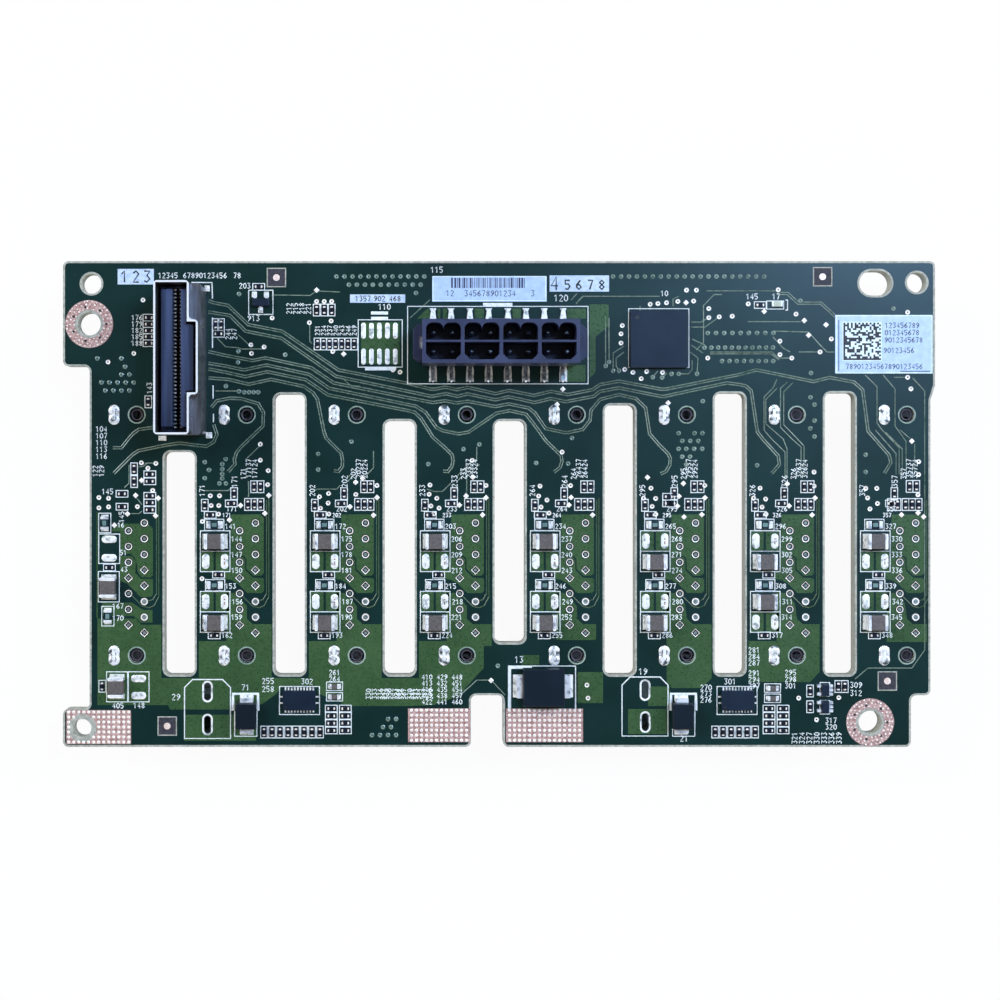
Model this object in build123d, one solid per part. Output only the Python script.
from build123d import *
import os

# A server's drive backplane, rear face up: a rigid circuit board that lies on the mating faces of
# its eight drive sockets, with its cable socket, power header and chips on top. Millimetres, +Z up.
# The origin is under the middle of the board, on the plane of the drive sockets' mating faces.

os.makedirs("parts", exist_ok=True)

# Drive bays
bay_count = 8
bay_pitch = 17.78
left_margin = 11.9  # left edge of the board to the first bay's line
right_margin = 4.55  # last bay's line to the right edge

# Circuit board
board_depth = 78.5
board_thickness = 2.36
corner_radius = 0.9
ear_reach = 4.3
upper_ear_depth = 17.0
lower_ear_depth = 6.15
foot_height = 8.35  # lower edge up to the notch floor and to the corner cut
notch_middle = -1.95  # from the middle of the board
notch_width = 5.2
corner_cut_width = 3.15
side_taper_start = 20.05  # below the upper edge
side_taper_length = 2.4
side_taper_width = 0.75

# Air slots, between the strips of board that carry the sockets
strip_left = 8.4  # bay line to the left edge of its strip
strip_right = 4.5
slot_corner = 1.0
slot_floor = 11.65  # above the lower edge
middle_slot_floor = 16.85
slot_heads = (30.85, 21.5, 25.8, 25.8, 23.25, 21.35, 21.3)  # below the upper edge

# Holes in the board
screw_hole = 3.7
upper_screw_inset = (4.3, 10.15)  # from the left and upper edges
lower_screw_inset = (10.5, 4.05)  # from the right and lower edges
guide_hole = 3.2
left_guide_inset = (4.6, 3.65)
right_guide_inset = (2.95, 3.45)
oblong_inset = (9.65, 3.55)
oblong_length = 5.2
oblong_width = 4.0
ear_hole = 2.9
ear_hole_inset = (3.15, 3.05)

# Drive sockets, on the underside
socket_height = 8.3
socket_length = 42.7
socket_width = 5.9
socket_right = 2.2  # bay line to the right flank
base_height = 3.2
nose_width = 4.9
nose_end_wall = 1.0
arm_length = 2.45
arm_width = 4.4
arm_gap = 1.3
arm_bevel = 1.1
key_slot_width = 2.0
key_slot_depth = 6.2
key_leg_length = 0.95
key_leg_width = 1.2
lower_peg_inset = 14.95  # lower edge of the board to the lower pegs
peg_spread = 38.8
peg_diameter = 2.3
peg_clearance = 0.08
peg_sides = 6
peg_hole_sides = 12
peg_sink = 0.35  # pegs end this far below the rear face

# Contacts of a drive socket
power_contacts = 15
signal_contacts = 7
contact_pitch = 1.27
fine_pitch = 0.8
contact_end = 0.7  # end of the key slot to the first contact
blade_width = 0.7
fine_blade_width = 0.45
blade_thickness = 0.3
blade_recess = 1.0

# Board locks, which hold a drive socket
lock_offset = 3.65  # left of the bay line
lock_thickness = 0.5
lock_width = 1.7
lock_rise = 0.4  # stands above the rear face
lock_hole_length = 2.6
lock_hole_width = 1.3
lock_wing_length = 3.8
lock_wing_reach = 1.0
lock_wing_height = 2.6

# Cable socket
cable_left = 16.25  # left edge of the board to the shell
cable_inset = 4.25  # upper edge of the board to the shell
shell_height = 10.7
shell_sheet = 0.3
shell_corner = 0.6
shoulder_height = 6.7
mouth_width = 5.5
bay_reach = 1.4  # the mouth is that much wider at its bay
bay_start = 6.1  # upper end of the shell to the wide bay of its mouth
bay_length = 11.6
insert_gap = 0.15
ridge_drop = 1.6  # the insert ends this far below the rim
ridge_left_gap = 0.7
ridge_end_gap = 0.9
ridge_right_gap = 0.3
card_slot_width = 1.35
card_slot_offset = 2.7  # shell's left face to the slot
card_slot_depth = 5.4
card_contacts = 37
card_pitch = 0.6
card_end_wall = 0.85  # end of the card slot to the outside of the shell
card_blade_width = 0.26
card_blade_thickness = 0.2
card_blade_recess = 0.6
window_length = 4.2
window_height = 1.5
window_floor = 3.4

# Power header
header_columns = 8
header_pitch = 3.0
header_middle = -0.2  # from the middle of the board
header_inset = 13.6  # upper edge of the board to the pin field's middle
header_height = 9.9
header_standoff = 0.75
header_wall = 0.55
header_divider = 0.55
header_septum = 0.32
chamber_depth = 2.71
chamber_floor = 3.0
lobe_radius = 1.0
chamber_bevel = 0.85
pin_size = 0.64
pin_row_spacing = 3.0
pin_height = 7.5
tail_reach = 6.0  # pin field's middle to the tails' ends
tail_thickness = 0.5
header_ear_length = 1.45
header_ear_width = 5.7
header_ear_height = 6.4
hold_down_width = 1.9
hold_down_thickness = 0.45
hold_down_drop = 0.3
latch_width = 3.3
latch_reach = 0.5
latch_floor = 3.6
latch_height = 2.0

# Chips
controller_side = 9.2
controller_height = 0.9
controller_place = (25.75, 12.65)  # from the middle and the upper edge
power_chip_length = 5.3
power_chip_width = 3.15
power_chip_height = 0.85
power_chip_inset = 7.6  # above the lower edge
left_power_chip = -32.25
right_power_chip = 38.5

# Diodes
clamp_body = (6.8, 6.2, 2.4)
clamp_lead = (8.6, 3.6)
clamp_place = (7.1, 9.85)  # from the middle and the lower edge
small_body = (4.3, 3.4, 2.2)
small_lead = (5.6, 2.0)
small_diode_inset = 5.2
left_small_diode = -40.75
right_small_diode = 29.45
lead_thickness = 0.25
body_draft = 7.0

# Chip capacitors and resistors
capacitor_size = (3.2, 2.5, 1.9)
resistor_size = (2.1, 1.25, 0.55)
capacitor_offset = 5.1  # left of the bay line
resistor_offset = 5.2
capacitor_rows = {"a": -1.1, "b": -4.4, "c": -10.85, "d": -14.2}  # from the sockets' middle
resistor_rows = (1.55, -8.2)
fitted_rows = ("ad", "ad", "ad", "ad", "bd", "bc", "ad")  # second bay onwards
first_bay_capacitor = (4.5, -8.5)
first_bay_resistors = ((5.15, 1.85), (4.65, -13.2))
corner_capacitor_inset = (8.75, 9.75)  # from the left and lower edges

# Small parts with legs, the status lamp and the labels
transistor_body = (2.9, 1.35, 1.0)
transistor_place = (-38.45, 6.7)  # from the middle and the upper edge
leg_size = (0.45, 0.6, 0.5)
transistor_leg_spread = 1.9
gate_body = (1.3, 2.0, 0.95)
gate_place = 52.6
gate_insets = (9.25, 6.55)  # above the lower edge
gate_leg_spread = 0.65
lamp_body = (1.7, 0.85, 0.6)
lamp_place = (44.9, 6.95)
lamp_band = 0.3
paper_thickness = 0.1
serial_label = (18.5, 4.1)
serial_label_place = (-1.55, 4.5)
asset_label = (15.7, 9.4)
asset_label_inset = (8.3, 13.4)  # from the right and upper edges

# Levels and lines that follow from those sizes
board_length = left_margin + (bay_count - 1) * bay_pitch + right_margin
left_edge = -board_length / 2
right_edge = board_length / 2
lower_edge = -board_depth / 2
upper_edge = board_depth / 2
board_floor = socket_height
board_top = board_floor + board_thickness
bay_lines = [left_edge + left_margin + bay_pitch * bay for bay in range(bay_count)]
lower_peg = lower_edge + lower_peg_inset
peg_rows = (lower_peg, lower_peg + peg_spread)
socket_middle = lower_peg + peg_spread / 2
socket_line = socket_right - socket_width / 2  # middle of a socket, from its bay line
card_slot_length = card_contacts * card_pitch
shell_length = card_slot_length + 2 * card_end_wall
shell_width = mouth_width + bay_reach


def span(x, y, z):
    """A block given by its two ends on each axis."""
    size = [high - low for low, high in (x, y, z)]
    middle = [(low + high) / 2 for low, high in (x, y, z)]
    return Pos(*middle) * Box(*size)


def standing(size, x, y, floor):
    """A block of that size with its underside at the floor."""
    return Pos(x, y, floor) * Box(*size, align=(Align.CENTER, Align.CENTER, Align.MIN))


def turned(size):
    """The same size after a quarter turn."""
    return (size[1], size[0], size[2])


def save(name, solids):
    """Write one node, of one solid or of several separate ones."""
    shape = solids[0] if len(solids) == 1 else Compound(children=list(solids))
    export_step(shape, f"parts/{name}.step")


def board_outline():
    ear_line = left_edge + ear_reach
    side_line = right_edge - side_taper_width
    cut_line = side_line - corner_cut_width
    foot_line = lower_edge + foot_height
    notch = (notch_middle - notch_width / 2, notch_middle + notch_width / 2)
    taper_end = upper_edge - side_taper_start - side_taper_length
    corners = [
        (left_edge, upper_edge),
        (left_edge, upper_edge - upper_ear_depth),
        (ear_line, upper_edge - upper_ear_depth),
        (ear_line, lower_edge + lower_ear_depth),
        (left_edge, lower_edge + lower_ear_depth),
        (left_edge, lower_edge),
        (notch[0], lower_edge),
        (notch[0], foot_line),
        (notch[1], foot_line),
        (notch[1], lower_edge),
        (cut_line, lower_edge),
        (cut_line, foot_line),
        (side_line, foot_line),
        (side_line, taper_end),
        (right_edge, upper_edge - side_taper_start),
        (right_edge, upper_edge),
    ]
    face = make_face(Polyline(*corners, close=True))
    return fillet(face.vertices(), corner_radius)


def air_slots():
    """The slots between neighbouring strips."""
    width = bay_pitch - strip_left - strip_right
    slots = []
    for number, head in enumerate(slot_heads):
        floor = middle_slot_floor if number == len(slot_heads) // 2 else slot_floor
        low, high = lower_edge + floor, upper_edge - head
        x = bay_lines[number] + strip_right + width / 2
        slot = RectangleRounded(width, high - low, slot_corner)
        slots.append(Pos(x, (low + high) / 2) * slot)
    return slots


def board_holes():
    """Screw, guide, peg and lock holes."""
    screw = Circle(screw_hole / 2)
    guide = Circle(guide_hole / 2)
    holes = [
        Pos(left_edge + upper_screw_inset[0], upper_edge - upper_screw_inset[1]) * screw,
        Pos(right_edge - lower_screw_inset[0], lower_edge + lower_screw_inset[1]) * screw,
        Pos(left_edge + left_guide_inset[0], upper_edge - left_guide_inset[1]) * guide,
        Pos(right_edge - right_guide_inset[0], upper_edge - right_guide_inset[1]) * guide,
        Pos(right_edge - oblong_inset[0], upper_edge - oblong_inset[1])
        * SlotOverall(oblong_length, oblong_width),
        Pos(left_edge + ear_hole_inset[0], lower_edge + ear_hole_inset[1])
        * Circle(ear_hole / 2),
    ]
    peg_hole = peg_section(peg_diameter / 2 + peg_clearance, peg_hole_sides, False)
    lock_hole = Rectangle(lock_hole_width, lock_hole_length)
    for x in bay_lines:
        for y in peg_rows:
            holes.append(Pos(x, y) * peg_hole)
            holes.append(Pos(x - lock_offset, y) * lock_hole)
    return holes


def peg_section(radius, sides, corners_out):
    """A many-sided section with that radius to its corners, or else to its flats."""
    return RegularPolygon(radius, sides, major_radius=corners_out)


def circuit_board():
    face = board_outline() - air_slots() - board_holes()
    return Pos(0, 0, board_floor) * extrude(face, amount=board_thickness)


def key_slot():
    """The slot that a drive's tongue enters, keyed by a leg at each end."""
    length = nose_length() - 2 * nose_end_wall
    slot = Rectangle(key_slot_width, length)
    leg_x = -(key_slot_width + key_leg_length) / 2
    for end in (-1, 1):
        leg_y = end * (length - key_leg_width) / 2
        slot += Pos(leg_x, leg_y) * Rectangle(key_leg_length, key_leg_width)
    return extrude(slot, amount=key_slot_depth)


def nose_length():
    return socket_length - 2 * (arm_length + arm_gap)


def socket_arm(end):
    """A guide arm that leads a drive in, bevelled at its tip."""
    y = end * (socket_length - arm_length) / 2
    arm = standing((arm_width, arm_length, socket_height), 0, y, 0)
    tip = arm.faces().sort_by(Axis.Z)[0].edges()
    outer = tip.sort_by(Axis.Y)[-1] if end > 0 else tip.sort_by(Axis.Y)[0]
    return chamfer(outer, arm_bevel)


def drive_socket_housing():
    """One housing, about its own middle line, with its mating face on the ground plane."""
    base_floor = socket_height - base_height
    body = standing((socket_width, socket_length, base_height), 0, 0, base_floor)
    body += standing((nose_width, nose_length(), socket_height), 0, 0, 0)
    for end in (-1, 1):
        body += socket_arm(end)
    body -= key_slot()
    lock_x = -lock_offset - socket_line
    wing_x = (-socket_width / 2 - lock_wing_reach, 0)
    for y in (-peg_spread / 2, peg_spread / 2):
        wing_y = (y - lock_wing_length / 2, y + lock_wing_length / 2)
        wing_floor = socket_height - lock_wing_height
        body += span(wing_x, wing_y, (wing_floor, socket_height))
        body -= standing((lock_thickness, lock_width, socket_height), lock_x, y, base_floor)
        peg = peg_section(peg_diameter / 2, peg_sides, True)
        body += Pos(-socket_line, y, socket_height) * extrude(peg, amount=board_thickness - peg_sink)
    return body


def drive_socket_blades():
    """The contacts in one key slot: power and first port on one wall, second port on the other."""
    half = nose_length() / 2 - nose_end_wall - contact_end
    power = [-half + contact_pitch * i for i in range(power_contacts)]
    signal = [half - contact_pitch * i for i in range(signal_contacts)]
    gap_middle = (power[-1] + signal[-1]) / 2
    first = gap_middle - fine_pitch * (signal_contacts - 1) / 2
    second_port = [first + fine_pitch * i for i in range(signal_contacts)]
    wall = (key_slot_width - blade_thickness) / 2
    length = key_slot_depth - blade_recess
    near = (blade_thickness, blade_width, length)
    far = (blade_thickness, fine_blade_width, length)
    blades = [standing(near, wall, y, blade_recess) for y in power + signal]
    return blades + [standing(far, -wall, y, blade_recess) for y in second_port]


def drive_sockets():
    housing = drive_socket_housing()
    blades = drive_socket_blades()
    for number, x in enumerate(bay_lines, start=1):
        place = Pos(x + socket_line, socket_middle, 0)
        save(f"drive_socket_{number}", [place * housing])
        save(f"drive_contacts_{number}", [place * blade for blade in blades])


def board_locks():
    """Blades that run from a socket's wing through the board."""
    floor = socket_height - base_height
    size = (lock_thickness, lock_width, base_height + board_thickness + lock_rise)
    return [standing(size, x - lock_offset, y, floor) for x in bay_lines for y in peg_rows]


def shell_mouth(inset, corner):
    """The mouth's outline seen from above: narrow, with a wider bay on the right."""
    left, top = inset, -inset
    right = mouth_width - inset
    bottom = -shell_length + inset
    wide = shell_width - inset
    bay_top = -bay_start - inset
    bay_bottom = -bay_start - bay_length + inset
    corners = [
        (left, top),
        (left, bottom),
        (right, bottom),
        (right, bay_bottom),
        (wide, bay_bottom),
        (wide, bay_top),
        (right, bay_top),
        (right, top),
    ]
    face = make_face(Polyline(*corners, close=True))
    return fillet(face.vertices(), corner) if corner else face


def shell_skirt(inset, corner):
    """The lower part's outline seen from above."""
    face = Rectangle(shell_width - 2 * inset, shell_length - 2 * inset)
    face = fillet(face.vertices(), corner) if corner else face
    return Pos(shell_width / 2, -shell_length / 2) * face


def cable_corner():
    """The shell's upper left corner on the board."""
    return Pos(left_edge + cable_left, upper_edge - cable_inset, board_top)


def cable_socket_shell():
    """One drawn sheet: a skirt, a shoulder and a narrower mouth with a wide bay and latch windows."""
    outer = extrude(shell_skirt(0, shell_corner), amount=shoulder_height)
    outer += extrude(shell_mouth(0, min(shell_corner, 0.45 * bay_reach)), amount=shell_height)
    inner = extrude(shell_skirt(shell_sheet, 0), amount=shoulder_height - shell_sheet)
    inner += extrude(shell_mouth(shell_sheet, 0), amount=shell_height)
    shell = outer - inner
    bay_middle = -bay_start - bay_length / 2
    window_z = (window_floor, window_floor + window_height)
    for side in (-1, 1):
        middle = bay_middle + side * bay_length / 4
        window_y = (middle - window_length / 2, middle + window_length / 2)
        shell -= span((shell_width - 2 * shell_sheet, shell_width + shell_sheet), window_y, window_z)
    return cable_corner() * shell


def cable_socket_insert():
    """The moulded insert: a plinth that fills the skirt, and two ridges beside the card slot."""
    plinth_top = shoulder_height - shell_sheet - insert_gap
    plinth = extrude(shell_skirt(shell_sheet + insert_gap, 0), amount=plinth_top)
    ridge_top = shell_height - ridge_drop
    ridge_y = (-shell_length + shell_sheet + ridge_end_gap, -shell_sheet - ridge_end_gap)
    ridge_x = (shell_sheet + ridge_left_gap, mouth_width - shell_sheet - ridge_right_gap)
    body = plinth + span(ridge_x, ridge_y, (0, ridge_top))
    bay_y = (
        -bay_start - bay_length + shell_sheet + ridge_right_gap,
        -bay_start - shell_sheet - ridge_right_gap,
    )
    bay_x = (ridge_x[0], shell_width - 2 * shell_sheet - ridge_right_gap)
    body += span(bay_x, bay_y, (0, ridge_top))
    slot_x = (card_slot_offset, card_slot_offset + card_slot_width)
    slot_y = card_slot_ends()
    body -= span(slot_x, slot_y, (ridge_top - card_slot_depth, shell_height))
    return cable_corner() * body


def card_slot_ends():
    return (card_end_wall - shell_length, -card_end_wall)


def cable_socket_blades():
    """Both rows of contacts, one against each wall of the card slot."""
    ridge_top = shell_height - ridge_drop
    floor = ridge_top - card_slot_depth
    length = card_slot_depth - card_blade_recess
    size = (card_blade_thickness, card_blade_width, length)
    left = card_slot_offset + card_blade_thickness / 2
    right = card_slot_offset + card_slot_width - card_blade_thickness / 2
    first = card_slot_ends()[0] + card_pitch / 2
    rows = [first + card_pitch * i for i in range(card_contacts)]
    return [cable_corner() * standing(size, x, y, floor) for x in (left, right) for y in rows]


def header_place():
    return Pos(header_middle, upper_edge - header_inset, board_top)


def header_body_size():
    length = header_columns * header_pitch - header_divider + 2 * header_wall
    width = 2 * chamber_depth + header_septum + 2 * header_wall
    return length, width


def upper_chamber():
    """Two round-topped lobes that meet in a cusp."""
    lobe_width = header_pitch - header_divider / 2
    lobe = Rectangle(lobe_width, chamber_depth)
    lobe = fillet(lobe.vertices().group_by(Axis.Y)[-1], lobe_radius)
    return Pos(-lobe_width / 2, 0) * lobe + Pos(lobe_width / 2, 0) * lobe


def lower_chamber():
    """One wide chamber with its two outer corners cut."""
    chamber = Rectangle(2 * header_pitch - header_divider, chamber_depth)
    return chamfer(chamber.vertices().group_by(Axis.Y)[0], chamber_bevel)


def header_columns_at():
    first = -(header_columns - 1) * header_pitch / 2
    return [first + header_pitch * i for i in range(header_columns)]


def header_ear(side):
    """An end ear on the board, slotted for its hold-down."""
    half = header_body_size()[0] / 2
    ear_x = sorted((side * half, side * (half + header_ear_length)))
    ear_y = (-header_ear_width / 2, header_ear_width / 2)
    ear = span(ear_x, ear_y, (0, header_ear_height))
    outer = ear.faces().sort_by(Axis.X)[-1 if side > 0 else 0].edges().filter_by(Axis.Z)
    return chamfer(outer, header_ear_length / 2)


def hold_down_x(side):
    half = header_body_size()[0] / 2
    return sorted((side * half, side * (half + hold_down_thickness)))


def power_header_body():
    length, width = header_body_size()
    body = span((-length / 2, length / 2), (-width / 2, width / 2), (header_standoff, header_height))
    for side in (-1, 1):
        body += header_ear(side)
        hold_y = (-hold_down_width / 2, hold_down_width / 2)
        body -= span(hold_down_x(side), hold_y, (0, header_ear_height))
    row = (header_septum + chamber_depth) / 2
    depth = header_height - chamber_floor
    columns = header_columns_at()
    for group in range(header_columns // 2):
        x = (columns[2 * group] + columns[2 * group + 1]) / 2
        body -= Pos(x, row, chamber_floor) * extrude(upper_chamber(), amount=depth)
        body -= Pos(x, -row, chamber_floor) * extrude(lower_chamber(), amount=depth)
    for x in columns:
        for y in (-pin_row_spacing / 2, pin_row_spacing / 2):
            body -= standing((pin_size, pin_size, chamber_floor), x, y, 0)
    latch_x = (-latch_width / 2, latch_width / 2)
    latch = span(latch_x, (width / 2, width / 2 + latch_reach), (latch_floor, latch_floor + latch_height))
    body += chamfer(latch.edges().filter_by(Axis.X).sort_by(Axis.Y)[-1], latch_reach * 0.8)
    return header_place() * body


def header_pin():
    """A bent pin: upright in its chamber, with a tail out along the board."""
    inner = pin_row_spacing / 2 - pin_size / 2
    profile = Polyline(
        (inner, 0),
        (tail_reach, 0),
        (tail_reach, tail_thickness),
        (inner + pin_size, tail_thickness),
        (inner + pin_size, pin_height),
        (inner, pin_height),
        close=True,
    )
    sheet = make_face(Plane.YZ * profile)
    return Pos(-pin_size / 2, 0, 0) * extrude(sheet, amount=pin_size, dir=(1, 0, 0))


def power_header_pins():
    pin = header_pin()
    other = Rot(0, 0, 180) * pin
    columns = header_columns_at()
    return [header_place() * Pos(x, 0, 0) * part for x in columns for part in (pin, other)]


def power_header_hold_downs():
    hold_y = (-hold_down_width / 2, hold_down_width / 2)
    top = header_ear_height - hold_down_drop
    return [header_place() * span(hold_down_x(side), hold_y, (0, top)) for side in (-1, 1)]


def controller_chip():
    size = (controller_side, controller_side, controller_height)
    return standing(size, controller_place[0], upper_edge - controller_place[1], board_top)


def power_chip(x):
    size = (power_chip_length, power_chip_width, power_chip_height)
    return standing(size, x, lower_edge + power_chip_inset, board_top)


def diode_body(size):
    """A moulded body drafted both ways from its parting line, on its own underside."""
    half = size[2] / 2
    upper = extrude(Rectangle(size[0], size[1]), amount=half, taper=body_draft)
    return Pos(0, 0, half) * (upper + mirror(upper, Plane.XY))


def diode_leads(size, lead, body):
    """Two leads that leave at mid height, drop outside the body and turn under it."""
    length, width = lead
    middle = size[2] / 2
    outside = length / 2
    profile = Polyline(
        (size[0] / 2 - middle, 0),
        (outside, 0),
        (outside, middle + lead_thickness / 2),
        (size[0] / 2 - lead_thickness, middle + lead_thickness / 2),
        (size[0] / 2 - lead_thickness, middle - lead_thickness / 2),
        (outside - lead_thickness, middle - lead_thickness / 2),
        (outside - lead_thickness, lead_thickness),
        (size[0] / 2 - middle, lead_thickness),
        close=True,
    )
    sheet = make_face(Plane.XZ * profile)
    strip = Pos(0, width / 2, 0) * extrude(sheet, amount=width, dir=(0, -1, 0))
    right = strip - body
    return [right, Rot(0, 0, 180) * right]


def diode(name, size, lead, place):
    body = Pos(0, 0, lead_thickness / 2) * diode_body(size)
    save(name, [place * body])
    save(f"{name}_leads", [place * part for part in diode_leads(size, lead, body)])


def diodes():
    clamp = Pos(clamp_place[0], lower_edge + clamp_place[1], board_top)
    diode("clamp_diode", clamp_body, clamp_lead, clamp)
    for name, x in (("left_diode", left_small_diode), ("right_diode", right_small_diode)):
        place = Pos(x, lower_edge + small_diode_inset, board_top) * Rot(0, 0, 90)
        diode(name, small_body, small_lead, place)


def capacitor_places():
    """Each fitted capacitor's place and whether it is turned along the strip."""
    places = []
    for x, fitted in zip(bay_lines[1:], fitted_rows):
        for row in fitted:
            places.append((x - capacitor_offset, socket_middle + capacitor_rows[row], False))
    first_x, first_y = first_bay_capacitor
    places.append((bay_lines[0] - first_x, socket_middle + first_y, True))
    corner_x, corner_y = corner_capacitor_inset
    places.append((left_edge + corner_x, lower_edge + corner_y, True))
    return places


def resistor_places():
    places = []
    for x in bay_lines[1:]:
        for row in resistor_rows:
            places.append((x - resistor_offset, socket_middle + row, False))
    for x, y in first_bay_resistors:
        places.append((bay_lines[0] - x, socket_middle + y, True))
    return places


def chip_parts(places, size):
    """One chip at each place, turned where it runs along its strip."""
    return [standing(turned(size) if along else size, x, y, board_top) for x, y, along in places]


def legged_part(size, legs):
    """A small moulded body, drafted, and its flat legs on the board."""
    body = extrude(Rectangle(size[0], size[1]), amount=size[2], taper=body_draft)
    return body, [standing(leg_size_for(leg), leg[0], leg[1], 0) for leg in legs]


def leg_size_for(leg):
    return leg_size if leg[2] else turned(leg_size)


def small_transistor():
    reach = transistor_body[1] / 2 + leg_size[1] / 2
    half = transistor_leg_spread / 2
    legs = [(-half, reach, True), (half, reach, True), (0, -reach, True)]
    place = Pos(transistor_place[0], upper_edge - transistor_place[1], board_top)
    body, feet = legged_part(transistor_body, legs)
    return [place * body], [place * foot for foot in feet]


def small_gates():
    """Two five-leg chips: two legs on the left, three on the right."""
    reach = gate_body[0] / 2 + leg_size[1] / 2
    step = gate_leg_spread
    legs = [(-reach, -step, False), (-reach, step, False)]
    legs += [(reach, y, False) for y in (-step, 0, step)]
    bodies, feet = [], []
    for inset in gate_insets:
        place = Pos(gate_place, lower_edge + inset, board_top)
        body, parts = legged_part(gate_body, legs)
        bodies.append(place * body)
        feet += [place * part for part in parts]
    return bodies, feet


def status_lamp():
    """A lens between two plated ends."""
    place = Pos(lamp_place[0], upper_edge - lamp_place[1], board_top)
    length, width, height = lamp_body
    lens = standing((length - 2 * lamp_band, width, height), 0, 0, 0)
    ends = []
    for side in (-1, 1):
        end = standing((lamp_band, width, height * 0.7), side * (length - lamp_band) / 2, 0, 0)
        ends.append(place * end)
    return place * lens, ends


def label(size, x, y):
    return standing((*size, paper_thickness), x, y, board_top)


save("circuit_board", [circuit_board()])
drive_sockets()
save("board_locks", board_locks())
save("cable_socket_shell", [cable_socket_shell()])
save("cable_socket_insert", [cable_socket_insert()])
save("cable_socket_contacts", cable_socket_blades())
save("power_header_body", [power_header_body()])
save("power_header_pins", power_header_pins())
save("power_header_hold_downs", power_header_hold_downs())
save("controller_chip", [controller_chip()])
save("left_power_chip", [power_chip(left_power_chip)])
save("right_power_chip", [power_chip(right_power_chip)])
diodes()
save("chip_capacitors", chip_parts(capacitor_places(), capacitor_size))
save("chip_resistors", chip_parts(resistor_places(), resistor_size))
transistor_bodies, transistor_legs = small_transistor()
save("transistor_body", transistor_bodies)
save("transistor_legs", transistor_legs)
gate_bodies, gate_legs = small_gates()
save("gate_bodies", gate_bodies)
save("gate_legs", gate_legs)
lamp_lens, lamp_ends = status_lamp()
save("status_lamp_lens", [lamp_lens])
save("status_lamp_ends", lamp_ends)
serial_y = upper_edge - serial_label_place[1]
save("serial_label", [label(serial_label, serial_label_place[0], serial_y)])
asset_x = right_edge - asset_label_inset[0]
asset_y = upper_edge - asset_label_inset[1]
save("asset_label", [label(asset_label, asset_x, asset_y)])
